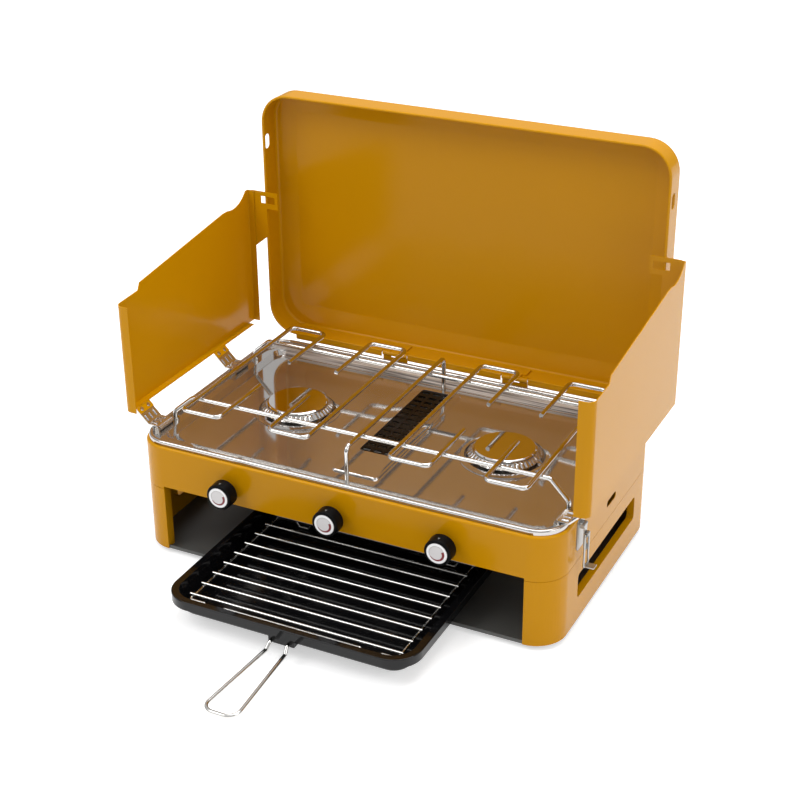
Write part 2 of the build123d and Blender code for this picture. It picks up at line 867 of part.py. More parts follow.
# Wind shields: panels with turned-in edges and tabs for the straps, which are riveted to them
straps_at = (strap_front_y, strap_rear_y)
tab_top = (shield_in - low_flange + 0.5, shield_low + 0.5)
tab_end = (tab_top[0] - tab_drop, tab_top[1] - tab_drop)
lap = (0.5 * sheet + 0.5 * strap_t) / sqrt(2)
strap_z = pivot_z + barrel_r - strap_t / 2
strap_knee = tab_end[0] + lap - (tab_end[1] - lap - strap_z)
rib_z = strap_z + strap_rib_h / 2


def rivet_plane(side, y):
    """Plane on the middle of a shield's tab, facing up and inward."""
    x = side * (tab_top[0] + tab_end[0]) / 2
    z = (tab_top[1] + tab_end[1]) / 2
    return Plane(origin=(x, y, z), x_dir=(0, 1, 0), z_dir=(-side, 0, 1))


for name, side in sides.items():
    with BuildPart() as panel:
        mid_x = shield_in + sheet / 2
        with BuildSketch(plan(side, shield_low)):
            with BuildLine():
                FilletPolyline(
                    (shield_out - front_flange, shield_front + sheet / 2),
                    (mid_x, shield_front + sheet / 2),
                    (mid_x, shield_rear - sheet / 2),
                    (shield_out - rear_flange, shield_rear - sheet / 2),
                    radius=(bend_r + sheet / 2, sheet),
                )
            trace(line_width=sheet)
        extrude(amount=side * (shield_tab_top - shield_low))
        with BuildSketch(Plane.YZ):
            with BuildLine():
                arc_start = (shield_back_y + 6, shield_back_top)
                arc_end = (shield_rear - 6, shield_tab_top)
                ThreePointArc(arc_start, (shield_rear - 18, shield_back_top + 2.5), arc_end)
                Polyline(
                    arc_end,
                    (shield_rear + 1, shield_tab_top),
                    (shield_rear + 1, shield_tab_top + 1),
                    (shield_front - 1, shield_tab_top + 1),
                    (shield_front - 1, shield_front_top),
                    (shield_step_y - 4, shield_front_top + 2),
                    (shield_step_y, shield_front_top + shield_step),
                    (shield_back_y - 6, shield_back_top),
                    arc_start,
                )
            make_face()
        extrude(amount=side * (shield_out + sheet), mode=Mode.SUBTRACT)
        block(
            (side * (shield_in - low_flange), side * mid_x),
            (shield_front + bend_r, shield_rear - rear_flange - 6),
            (shield_low, shield_low + sheet),
        )
        for y in straps_at:
            with BuildSketch(across(side, y)):
                with BuildLine():
                    Line(tab_top, tab_end)
                trace(line_width=sheet)
            extrude(amount=strap_w / 2, both=True)
            for step in (-1, 1):
                with Locations(rivet_plane(side, y + step * strap_w / 4)):
                    Cylinder(rivet_r + pin_gap, 3 * sheet, mode=Mode.SUBTRACT)
    panel.part.label = name + "_shield_panel"
    export_step(panel.part, "parts/" + name + "_shield_panel.step")

    with BuildPart() as straps:
        for y in straps_at:
            with BuildSketch(across(side, y)):
                with BuildLine():
                    Polyline(
                        (pivot_x, strap_z),
                        (strap_knee, strap_z),
                        (tab_top[0] + lap - 1.5, tab_top[1] - lap - 1.5),
                    )
                trace(line_width=strap_t)
                with Locations((pivot_x, pivot_z)):
                    Circle(barrel_r)
                    Circle(barrel_bore, mode=Mode.SUBTRACT)
            extrude(amount=strap_w / 2, both=True)
            for step in (-1, 0, 1):
                with BuildSketch(across(side, y + step * strap_rib_pitch)):
                    with BuildLine():
                        Line((pivot_x + barrel_r, rib_z), (strap_knee - 2, rib_z))
                        Line((strap_knee + 2, rib_z + 2.2), (strap_knee + 7, rib_z + 7.2))
                    trace(line_width=strap_t + strap_rib_h)
                extrude(amount=strap_rib_w / 2, both=True)
            rivet_ends = (-sheet / 2 - strap_t - rivet_head_t, sheet / 2 + pin_gap)
            for step in (-1, 1):
                seat = rivet_plane(side, y + step * strap_w / 4)
                with BuildSketch(seat.offset(rivet_ends[0])):
                    Circle(rivet_r)
                extrude(amount=rivet_ends[1] - rivet_ends[0])
                for end in rivet_ends:
                    with BuildSketch(seat.offset(end)):
                        Circle(rivet_head_r)
                    extrude(amount=rivet_head_t, taper=30 if end > 0 else 0)
    straps.part.label = name + "_shield_straps"
    export_step(straps.part, "parts/" + name + "_shield_straps.step")

# Pivot pins of the straps
ear_reach = strap_w / 2 + ear_gap + ear_t
with BuildPart() as shield_pins:
    for side in sides.values():
        for y in straps_at:
            with BuildSketch(across(side, y)):
                with Locations((pivot_x, pivot_z)):
                    Circle(shield_pin_r)
            extrude(amount=ear_reach, both=True)
shield_pins.part.label = "shield_pins"
export_step(shield_pins.part, "parts/shield_pins.step")

# Pivot clips: a pair of ears on the hob's ledge for each strap
with BuildPart() as shield_clips:
    for side in sides.values():
        for y in straps_at:
            for step in (-1, 1):
                ear_y = y + step * (strap_w / 2 + ear_gap + ear_t / 2)
                with BuildSketch(across(side, ear_y)):
                    with Locations((pivot_x, (ledge_z + pivot_z) / 2)):
                        Rectangle(2 * ear_half, pivot_z - ledge_z)
                    with Locations((pivot_x, pivot_z)):
                        Circle(ear_half)
                        Circle(shield_pin_r + pin_gap, mode=Mode.SUBTRACT)
                extrude(amount=ear_t / 2, both=True)
shield_clips.part.label = "shield_clips"
export_step(shield_clips.part, "parts/shield_clips.step")

# Pan support: one frame of chrome rods welded where they cross
with BuildPart() as pan_support:
    cross_z = rod_z - 2 * rod_r + weld
    wire(
        (
            (0, -support_end_y, basin_z + stand_gap),
            (0, -support_end_y, rod_z),
            (0, support_end_y, rod_z),
            (0, support_end_y, basin_z + stand_gap),
        ),
        rod_r,
        rod_bend,
    )
    for side in sides.values():
        for long_x, stub_x in ((outer_rod_x, outer_stub_x), (inner_rod_x, inner_stub_x)):
            wire(
                (
                    (side * stub_x, stub_end_y, rod_z),
                    (side * stub_x, support_end_y, rod_z),
                    (side * long_x, support_end_y, rod_z),
                    (side * long_x, -support_end_y, rod_z),
                    (side * stub_x, -support_end_y, rod_z),
                    (side * stub_x, -stub_end_y, rod_z),
                ),
                rod_r,
                rod_bend,
            )
        wire(
            (
                (-cross_foot_x, side * cross_foot_y, ledge_z + stand_gap),
                (-cross_foot_x, side * cross_foot_y, cross_knee_z),
                (-cross_x, side * cross_y, cross_z),
                (cross_x, side * cross_y, cross_z),
                (cross_foot_x, side * cross_foot_y, cross_knee_z),
                (cross_foot_x, side * cross_foot_y, ledge_z + stand_gap),
            ),
            rod_r,
            rod_bend,
        )
pan_support.part.label = "pan_support"
export_step(pan_support.part, "parts/pan_support.step")

# Support clips: cups on the side ledges that take the feet of the cross rods
with BuildPart() as support_clips:
    with BuildSketch(Plane.XY.offset(ledge_z)):
        with GridLocations(2 * cross_foot_x, 2 * cross_foot_y, 2, 2):
            Circle(clip_r)
            Circle(rod_r + clip_gap, mode=Mode.SUBTRACT)
    extrude(amount=clip_h)
support_clips.part.label = "pan_support_clips"
export_step(support_clips.part, "parts/pan_support_clips.step")

# Grill pan: drafted tray with a wide rim and a turned-down skirt
with BuildPart() as grill_pan:
    foot_inset = pan_rim + draft_run
    for low, inset, mode in (
        (pan_low, foot_inset, Mode.ADD),
        (pan_floor, foot_inset + 0.8 * pan_sheet, Mode.SUBTRACT),
    ):
        with BuildSketch(Plane.XY.offset(low)):
            with Locations((0, pan_y)):
                RectangleRounded(pan_w - 2 * inset, pan_l - 2 * inset, pan_corner - inset)
        extrude(amount=pan_top - low, taper=-pan_draft, mode=mode)
    floor_faces = grill_pan.faces().filter_by(Axis.Z).sort_by(Axis.Z)
    fillet(floor_faces[0].outer_wire().edges(), pan_floor_r)
    fillet(floor_faces[1].outer_wire().edges(), pan_floor_r - pan_sheet)
    with BuildSketch(Plane.XY.offset(pan_top - pan_sheet)):
        with Locations((0, pan_y)):
            rim_hole = 2 * pan_rim + pan_sheet
            RectangleRounded(pan_w, pan_l, pan_corner)
            RectangleRounded(
                pan_w - rim_hole, pan_l - rim_hole, pan_corner - pan_rim, mode=Mode.SUBTRACT
            )
    extrude(amount=pan_sheet)
    with BuildSketch(Plane.XY.offset(pan_top - pan_skirt)):
        with Locations((0, pan_y)):
            RectangleRounded(pan_w, pan_l, pan_corner)
            RectangleRounded(
                pan_w - 2 * pan_sheet, pan_l - 2 * pan_sheet, pan_corner - pan_sheet, mode=Mode.SUBTRACT
            )
    extrude(amount=pan_skirt)
    fillet(grill_pan.faces().sort_by(Axis.Z)[-1].outer_wire().edges(), 0.8 * pan_sheet)
grill_pan.part.label = "grill_pan"
export_step(grill_pan.part, "parts/grill_pan.step")

# Handle socket under the front of the pan
socket_rear = pan_front + pan_rim + draft_run * (1 - (handle_z + socket_h / 2 - pan_low) / pan_h)
with BuildPart() as handle_socket:
    block(
        (-socket_w / 2, socket_w / 2),
        (socket_rear - socket_l, socket_rear),
        (handle_z - socket_h / 2, handle_z + socket_h / 2),
    )
    for side in sides.values():
        with BuildSketch(ahead(side * handle_root_x, socket_rear, handle_z)):
            Circle(handle_r + seat_gap)
        extrude(amount=socket_l, mode=Mode.SUBTRACT)
handle_socket.part.label = "pan_handle_socket"
export_step(handle_socket.part, "parts/pan_handle_socket.step")

# Pan handle: one wire loop with its two ends in the socket
with BuildPart() as pan_handle:
    drop_y = pan_front - 4
    points = []
    for side in (-1, 1):
        leg = [
            (side * handle_root_x, socket_rear - seat_gap, handle_z),
            (side * handle_root_x, drop_y, handle_z),
            (side * (handle_root_x + 1), drop_y - handle_drop, handle_z - handle_drop),
            (side * handle_tip_x, handle_tip_y, handle_z - handle_drop),
        ]
        points += leg if side < 0 else leg[::-1]
    wire(points, handle_r, [2, 2, 12, 12, 2, 2])
pan_handle.part.label = "pan_handle"
export_step(pan_handle.part, "parts/pan_handle.step")

# Pan rack: cross wires on a frame whose front and rear wires step down into feet
with BuildPart() as pan_rack:
    frame_z = rack_z - 2 * rack_wire_r + weld
    rack_foot_z = pan_floor + rack_wire_r + stand_gap
    with BuildSketch(Plane.YZ.offset(-rack_w / 2)):
        with Locations((pan_y, rack_z)):
            with GridLocations(rack_pitch, 1, rack_rods, 1):
                Circle(rack_wire_r)
    extrude(amount=rack_w)
    corners = []
    for end in (-1, 1):
        y = pan_y + end * rack_end
        foot_half = rack_foot_w / 2
        steps = []
        for foot_x in (-rack_foot_x, rack_foot_x):
            steps += [
                (foot_x - foot_half - rack_foot_run, y, frame_z),
                (foot_x - foot_half, y, rack_foot_z),
                (foot_x + foot_half, y, rack_foot_z),
                (foot_x + foot_half + rack_foot_run, y, frame_z),
            ]
        steps = [(-rack_side_x, y, frame_z), *steps, (rack_side_x, y, frame_z)]
        corners += steps if end < 0 else steps[::-1]
    wire(corners, rack_wire_r, rack_bend, closed=True)
pan_rack.part.label = "pan_rack"
export_step(pan_rack.part, "parts/pan_rack.step")

# Toggle latches on the sides: base with ears and pin, lever, and wire bail with a tongue
for name, side in sides.items():
    with BuildPart() as base:
        wall_x = body_w / 2
        block(
            (side * wall_x, side * (wall_x + latch_base_t)),
            (latch_y - latch_w / 2, latch_y + latch_w / 2),
            (latch_low, latch_high),
        )
        chamfer(base.edges().filter_by(Axis.X), 3)
        for step in (-1, 1):
            ear_y = latch_y + step * (lever_w / 2 + stand_gap + ear_t / 2)
            with BuildSketch(across(side, ear_y)):
                with Locations(((wall_x + lever_x) / 2, lever_z)):
                    Rectangle(lever_x - wall_x, 2 * lever_r)
                with Locations((lever_x, lever_z)):
                    Circle(lever_r)
            extrude(amount=ear_t / 2, both=True)
        with BuildSketch(across(side, latch_y)):
            with Locations((lever_x, lever_z)):
                Circle(lever_r / 2)
        extrude(amount=lever_w / 2 + stand_gap + ear_t / 2, both=True)
    base.part.label = name + "_latch_base"
    export_step(base.part, "parts/" + name + "_latch_base.step")

    with BuildPart() as lever:
        plate_x = lever_x + lever_r - latch_base_t / 2
        with BuildSketch(across(side, latch_y)):
            with BuildLine():
                FilletPolyline(
                    (plate_x, lever_z),
                    (plate_x, lever_end_z),
                    (plate_x + 3, lever_end_z - 4),
                    radius=2,
                )
            trace(line_width=latch_base_t)
            with Locations((lever_x, lever_z)):
                Circle(lever_r)
                Circle(lever_r / 2 + 2 * pin_gap, mode=Mode.SUBTRACT)
            with Locations((bail_x, bail_z)):
                Circle(bail_r + 1)
                Circle(bail_r + 2 * pin_gap, mode=Mode.SUBTRACT)
        extrude(amount=lever_w / 2, both=True)
    lever.part.label = name + "_latch_lever"
    export_step(lever.part, "parts/" + name + "_latch_lever.step")

    with BuildPart() as bail:
        bail_end_z = bail_z - bail_len
        wire(
            (
                (side * bail_x, latch_y - bail_half, bail_z),
                (side * bail_x, latch_y - bail_half, bail_end_z),
                (side * bail_x, latch_y + bail_half, bail_end_z),
                (side * bail_x, latch_y + bail_half, bail_z),
            ),
            bail_r,
            1.5,
            closed=True,
        )
        block(
            (side * bail_x, side * (bail_x + tongue_l)),
            (latch_y - tongue_w / 2, latch_y + tongue_w / 2),
            (bail_end_z - tongue_t / 2, bail_end_z + tongue_t / 2),
        )
    bail.part.label = name + "_latch_bail"
    export_step(bail.part, "parts/" + name + "_latch_bail.step")
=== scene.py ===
"""Camping stove with a grill: finishes, small pieces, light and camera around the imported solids."""

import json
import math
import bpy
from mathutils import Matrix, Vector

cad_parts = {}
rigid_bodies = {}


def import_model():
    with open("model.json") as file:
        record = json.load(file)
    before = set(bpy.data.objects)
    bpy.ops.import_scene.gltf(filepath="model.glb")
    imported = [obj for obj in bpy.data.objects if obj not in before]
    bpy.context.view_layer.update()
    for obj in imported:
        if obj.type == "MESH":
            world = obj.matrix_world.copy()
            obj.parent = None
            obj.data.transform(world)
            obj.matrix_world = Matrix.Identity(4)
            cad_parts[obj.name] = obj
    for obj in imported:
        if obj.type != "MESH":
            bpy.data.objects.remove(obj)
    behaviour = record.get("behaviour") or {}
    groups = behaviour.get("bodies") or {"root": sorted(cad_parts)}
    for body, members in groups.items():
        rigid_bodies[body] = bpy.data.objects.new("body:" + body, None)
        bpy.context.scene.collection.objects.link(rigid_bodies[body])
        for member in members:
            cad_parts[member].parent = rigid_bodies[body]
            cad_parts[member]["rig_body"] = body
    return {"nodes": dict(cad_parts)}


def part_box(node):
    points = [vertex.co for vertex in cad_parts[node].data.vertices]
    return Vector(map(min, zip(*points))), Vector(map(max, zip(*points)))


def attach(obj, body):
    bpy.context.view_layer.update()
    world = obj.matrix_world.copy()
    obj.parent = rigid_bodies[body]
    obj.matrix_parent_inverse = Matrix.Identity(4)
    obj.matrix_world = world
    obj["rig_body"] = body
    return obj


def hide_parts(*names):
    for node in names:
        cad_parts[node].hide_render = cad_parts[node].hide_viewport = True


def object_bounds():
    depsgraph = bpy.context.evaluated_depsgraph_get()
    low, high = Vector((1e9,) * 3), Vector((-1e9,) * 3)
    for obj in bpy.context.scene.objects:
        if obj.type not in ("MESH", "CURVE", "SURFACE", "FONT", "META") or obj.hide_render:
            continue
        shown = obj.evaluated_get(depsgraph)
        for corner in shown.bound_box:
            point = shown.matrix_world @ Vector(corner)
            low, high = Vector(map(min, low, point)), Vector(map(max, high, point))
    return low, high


bl_info = {
    "name": "Camping stove with grill",
    "version": (1, 0, 0),
    "blender": (4, 5, 0),
    "location": "View3D > Sidebar > Stove",
    "description": "Dresses the solids of a two burner camping stove with a grill",
    "category": "Object",
}

import bmesh
import bpy
from mathutils import Matrix, Vector

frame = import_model()
CAD_BOX = [list(corner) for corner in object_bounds()]
NODES = frame["nodes"]
SIDES = {"left": -1, "right": 1}
KNOB_BODIES = ("left_knob", "grill_knob", "right_knob")
# Places and sizes that the lid shares with the solids, in metres
LID_CORNER = 0.035
HINGE_X = 0.078
LATCH_SLOT = (0.1595, 0.383)  # centre of the slots in the side walls, as Y and Z
LATCH_SLOT_HALF = (0.0055, 0.009)
WELD = 1e-6  # points closer than this are one
BUMP_DEPTH = 0.0002


class StoveFinish(bpy.types.PropertyGroup):
    """Colours and gloss of the stove's finishes."""

    paint: bpy.props.FloatVectorProperty(
        name="Paint",
        description="Mustard gloss paint",
        subtype="COLOR",
        size=3,
        default=(0.57, 0.257, 0.001),
    )
    paint_gloss: bpy.props.FloatProperty(
        name="Paint roughness",
        description="How soft the paint's reflections are",
        default=0.16,
        min=0,
        max=1,
    )
    steel: bpy.props.FloatVectorProperty(
        name="Hob steel",
        description="Polished stainless steel",
        subtype="COLOR",
        size=3,
        default=(0.52, 0.5, 0.48),
    )
    chrome: bpy.props.FloatVectorProperty(
        name="Chrome",
        description="Plated wire and fittings",
        subtype="COLOR",
        size=3,
        default=(0.64, 0.63, 0.61),
    )
    cap: bpy.props.FloatVectorProperty(
        name="Burner cap",
        description="Mirror polished steel",
        subtype="COLOR",
        size=3,
        default=(0.7, 0.68, 0.66),
    )
    latch: bpy.props.FloatVectorProperty(
        name="Latch steel",
        description="Dull plated latches",
        subtype="COLOR",
        size=3,
        default=(0.4, 0.4, 0.39),
    )
    enamel: bpy.props.FloatVectorProperty(
        name="Black enamel",
        description="Grill pan and vent",
        subtype="COLOR",
        size=3,
        default=(0.003, 0.003, 0.0035),
    )
    tray: bpy.props.FloatVectorProperty(
        name="Base tray",
        description="Dark grey floor of the grill",
        subtype="COLOR",
        size=3,
        default=(0.085, 0.085, 0.08),
    )
    mark: bpy.props.FloatVectorProperty(
        name="Dial mark",
        description="Red arc on the dials",
        subtype="COLOR",
        size=3,
        default=(0.2, 0.004, 0.012),
    )


class StoveStage(bpy.types.PropertyGroup):
    """Floor, light and camera."""

    floor: bpy.props.FloatProperty(
        name="Floor size",
        description="Side of the floor",
        subtype="DISTANCE",
        unit="LENGTH",
        default=14,
    )
    key: bpy.props.FloatProperty(
        name="Key light",
        description="Power of the large lamp at the front left",
        default=31,
        min=0,
    )
    side: bpy.props.FloatProperty(
        name="Side light",
        description="Power of the large lamp at the right",
        default=14,
        min=0,
    )
    top: bpy.props.FloatProperty(
        name="Top light",
        description="Power of the lamp overhead",
        default=38,
        min=0,
    )
    lens: bpy.props.FloatProperty(
        name="Lens",
        description="Focal length on a 36 mm sensor",
        subtype="DISTANCE_CAMERA",
        default=72.497,
    )
    distance: bpy.props.FloatProperty(
        name="Distance",
        description="From the stove's origin",
        subtype="DISTANCE",
        unit="LENGTH",
        default=1.8565,
    )


def link(name, mesh):
    """Object for a mesh, in the scene."""
    piece = bpy.data.objects.new(name, mesh)
    bpy.context.scene.collection.objects.link(piece)
    return piece


def new_material(name):
    """Material with its node tree and its Principled shader."""
    material = bpy.data.materials.new(name)
    material.use_nodes = True
    return material, material.node_tree, material.node_tree.nodes["Principled BSDF"]


def group_tree(name, inputs, outputs):
    """Shader node group with named inputs and outputs."""
    tree = bpy.data.node_groups.new(name, "ShaderNodeTree")
    for label, kind, value in inputs:
        socket = tree.interface.new_socket(label, in_out="INPUT", socket_type=kind)
        if value is not None:
            socket.default_value = value
    for label, kind in outputs:
        tree.interface.new_socket(label, in_out="OUTPUT", socket_type=kind)
    return tree, tree.nodes.new("NodeGroupInput"), tree.nodes.new("NodeGroupOutput")


def drift_group():
    """Slow changes of tone and gloss over a surface."""
    tree, source, sink = group_tree(
        "surface drift",
        (
            ("Color", "NodeSocketColor", None),
            ("Roughness", "NodeSocketFloat", 0.3),
            ("Scale", "NodeSocketFloat", 8),
            ("Tone", "NodeSocketFloat", 0.05),
            ("Haze", "NodeSocketFloat", 0.05),
        ),
        (("Color", "NodeSocketColor"), ("Roughness", "NodeSocketFloat")),
    )
    place = tree.nodes.new("ShaderNodeTexCoord")
    cloud = tree.nodes.new("ShaderNodeTexNoise")
    cloud.inputs["Detail"].default_value = 4
    tree.links.new(place.outputs["Object"], cloud.inputs["Vector"])
    tree.links.new(source.outputs["Scale"], cloud.inputs["Scale"])
    centre = tree.nodes.new("ShaderNodeMath")
    centre.operation = "SUBTRACT"
    centre.inputs[1].default_value = 0.5
    tree.links.new(cloud.outputs["Fac"], centre.inputs[0])
    tone = tree.nodes.new("ShaderNodeMath")
    tone.operation = "MULTIPLY_ADD"
    tone.inputs[2].default_value = 1
    tree.links.new(centre.outputs[0], tone.inputs[0])
    tree.links.new(source.outputs["Tone"], tone.inputs[1])
    colour = tree.nodes.new("ShaderNodeVectorMath")
    colour.operation = "SCALE"
    tree.links.new(source.outputs["Color"], colour.inputs[0])
    tree.links.new(tone.outputs[0], colour.inputs["Scale"])
    tree.links.new(colour.outputs[0], sink.inputs["Color"])
    haze = tree.nodes.new("ShaderNodeMath")
    haze.operation = "MULTIPLY_ADD"
    tree.links.new(centre.outputs[0], haze.inputs[0])
    tree.links.new(source.outputs["Haze"], haze.inputs[1])
    tree.links.new(source.outputs["Roughness"], haze.inputs[2])
    tree.links.new(haze.outputs[0], sink.inputs["Roughness"])
    return tree


def relief_group():
    """Fine relief as a height: orange peel, cast grain or rolling lines, by its scale."""
    tree, source, sink = group_tree(
        "fine relief",
        (
            ("Scale", "NodeSocketFloat", 400),
            ("Stretch", "NodeSocketVector", (1, 1, 1)),
            ("Depth", "NodeSocketFloat", 1),
        ),
        (("Height", "NodeSocketFloat"),),
    )
    place = tree.nodes.new("ShaderNodeTexCoord")
    stretch = tree.nodes.new("ShaderNodeVectorMath")
    stretch.operation = "MULTIPLY"
    tree.links.new(place.outputs["Object"], stretch.inputs[0])
    tree.links.new(source.outputs["Stretch"], stretch.inputs[1])
    grain = tree.nodes.new("ShaderNodeTexNoise")
    grain.inputs["Detail"].default_value = 2
    tree.links.new(stretch.outputs[0], grain.inputs["Vector"])
    tree.links.new(source.outputs["Scale"], grain.inputs["Scale"])
    depth = tree.nodes.new("ShaderNodeMath")
    depth.operation = "MULTIPLY"
    tree.links.new(grain.outputs["Fac"], depth.inputs[0])
    tree.links.new(source.outputs["Depth"], depth.inputs[1])
    tree.links.new(depth.outputs[0], sink.inputs["Height"])
    return tree


def surface(name, colour, roughness, metallic, drift, relief=(400, (1, 1, 1), 0.0), gleam=0.5):
    """Material with drift (scale, tone, haze), fine relief (scale, stretch, strength) and specular level."""
    material, tree, shader = new_material(name)
    shader.inputs["Specular IOR Level"].default_value = gleam
    shader.inputs["Metallic"].default_value = metallic
    toned = tree.nodes.new("ShaderNodeGroup")
    toned.node_tree = bpy.data.node_groups["surface drift"]
    toned.inputs["Color"].default_value = (*colour, 1)
    toned.inputs["Roughness"].default_value = roughness
    for label, value in zip(("Scale", "Tone", "Haze"), drift):
        toned.inputs[label].default_value = value
    tree.links.new(toned.outputs["Color"], shader.inputs["Base Color"])
    tree.links.new(toned.outputs["Roughness"], shader.inputs["Roughness"])
    if relief[2]:
        fine = tree.nodes.new("ShaderNodeGroup")
        fine.node_tree = bpy.data.node_groups["fine relief"]
        fine.inputs["Scale"].default_value = relief[0]
        fine.inputs["Stretch"].default_value = relief[1]
        bump = tree.nodes.new("ShaderNodeBump")
        bump.inputs["Strength"].default_value = relief[2]
        bump.inputs["Distance"].default_value = BUMP_DEPTH
        tree.links.new(fine.outputs["Height"], bump.inputs["Height"])
        tree.links.new(bump.outputs["Normal"], shader.inputs["Normal"])
    return material


def dress(piece, material):
    """Gives a piece one material."""
    piece.data.materials.clear()
    piece.data.materials.append(bpy.data.materials[material])


def smooth(mesh, angle=32):
    """Smooth shading with sharp edges where the surface turns by more than the angle."""
    mesh.shade_smooth()
    mesh.set_sharp_from_angle(angle=math.radians(angle))


def even_shading(piece):
    """Lets large faces lead the shading of their rounded edges."""
    even = piece.modifiers.new("even shading", "WEIGHTED_NORMAL")
    even.keep_sharp = True
    even.weight = 80


def refine(node, material, angle=32):
    """Joined and smoothly shaded copy of a solid, which stands for it."""
    bm = bmesh.new()
    bm.from_mesh(NODES[node].data)
    bmesh.ops.remove_doubles(bm, verts=bm.verts, dist=WELD)
    flat = math.radians(0.4)
    bmesh.ops.dissolve_limit(bm, angle_limit=flat, verts=bm.verts, edges=bm.edges, delimit={"NORMAL"})
    mesh = bpy.data.meshes.new(node + "_skin")
    bm.to_mesh(mesh)
    bm.free()
    smooth(mesh, angle)
    piece = link(node + "_skin", mesh)
    dress(piece, material)
    even_shading(piece)
    body = NODES[node]["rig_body"]
    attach(piece, body)
    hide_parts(node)
    return piece


def keep(node, material):
    """Better material on a solid that stays."""
    solid = NODES[node]
    if not solid.data.materials:
        solid.data.materials.append(bpy.data.materials[material])
    for index in range(len(solid.material_slots)):
        solid.material_slots[index].material = bpy.data.materials[material]


def made(bm, name, body, material, angle=32):
    """Turns a bmesh into a finished piece."""
    mesh = bpy.data.meshes.new(name)
    bmesh.ops.recalc_face_normals(bm, faces=bm.faces)
    bm.to_mesh(mesh)
    bm.free()
    smooth(mesh, angle)
    piece = link(name, mesh)
    dress(piece, material)
    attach(piece, body)
    return piece


def rounded_loop(half_x, half_z, radius, steps=10):
    """Points of a rounded rectangle, always the same number of them."""
    loop = []
    for quarter, (sx, sz) in enumerate(((1, 1), (-1, 1), (-1, -1), (1, -1))):
        for step in range(steps + 1):
            turn = math.radians(90 * (quarter + step / steps))
            x = sx * (half_x - radius) + radius * math.cos(turn)
            z = sz * (half_z - radius) + radius * math.sin(turn)
            loop.append((x, z))
    return loop


def eased(points, radii, steps=6):
    """Path through points in a plane, with its corners rounded by the radii."""
    path = [Vector(points[0])]
    for before, corner, after, radius in zip(points, points[1:], points[2:], radii):
        corner = Vector(corner)
        back = (Vector(before) - corner).normalized()
        ahead = (Vector(after) - corner).normalized()
        half = back.angle(ahead) / 2
        centre = corner + (back + ahead).normalized() * radius / math.sin(half)
        first = corner + back * radius / math.tan(half) - centre
        last = corner + ahead * radius / math.tan(half) - centre
        path += [centre + first.slerp(last, step / steps).normalized() * radius for step in range(steps + 1)]
    return path + [Vector(points[-1])]


def loft(bm, loops):
    """Skins neighbouring loops with quads and closes both ends."""
    rings = [[bm.verts.new(point) for point in loop] for loop in loops]
    for ring, following in zip(rings, rings[1:]):
        for index in range(len(ring)):
            pair = (index, (index + 1) % len(ring))
            bm.faces.new((ring[pair[0]], ring[pair[1]], following[pair[1]], following[pair[0]]))
    bm.faces.new(rings[0])
    bm.faces.new(rings[-1])


def carve(piece, cutters):
    """Cuts the shapes in a list of bmeshes out of a piece."""
    for shape in cutters:
        mesh = bpy.data.meshes.new("cutter")
        bmesh.ops.recalc_face_normals(shape, faces=shape.faces)
        shape.to_mesh(mesh)
        shape.free()
        tool = bpy.data.objects.new("cutter", mesh)
        bpy.context.scene.collection.objects.link(tool)
        cut = piece.modifiers.new("cut", "BOOLEAN")
        cut.operation = "DIFFERENCE"
        cut.solver = "EXACT"
        cut.object = tool
        bpy.context.view_layer.update()
        held = piece.evaluated_get(bpy.context.evaluated_depsgraph_get())
        finished = bpy.data.meshes.new_from_object(held)
        piece.modifiers.clear()
        piece.data = finished
        bpy.data.objects.remove(tool)


def band(bm, centre, radii, sweep, depth, steps):
    """Raised band on a dial, from one inner and outer radius to another, between two angles."""
    rings = []
    for step in range(steps + 1):
        share = step / steps
        turn = math.radians(sweep[0] + (sweep[1] - sweep[0]) * share)
        inner, outer = (start + (end - start) * share for start, end in zip(*radii))
        aim = Vector((math.cos(turn), 0, math.sin(turn)))
        corners = ((inner, 0), (inner, -depth), (outer, -depth), (outer, 0))
        rings.append([bm.verts.new(centre + aim * out + Vector((0, along, 0))) for out, along in corners])
    for ring, following in zip(rings, rings[1:]):
        for index in range(4):
            pair = (index, (index + 1) % 4)
            bm.faces.new((ring[pair[0]], ring[pair[1]], following[pair[1]], following[pair[0]]))
    if abs(sweep[1] - sweep[0]) < 360:
        bm.faces.new(rings[0])
        bm.faces.new(rings[-1])
    bmesh.ops.remove_doubles(bm, verts=bm.verts, dist=WELD)


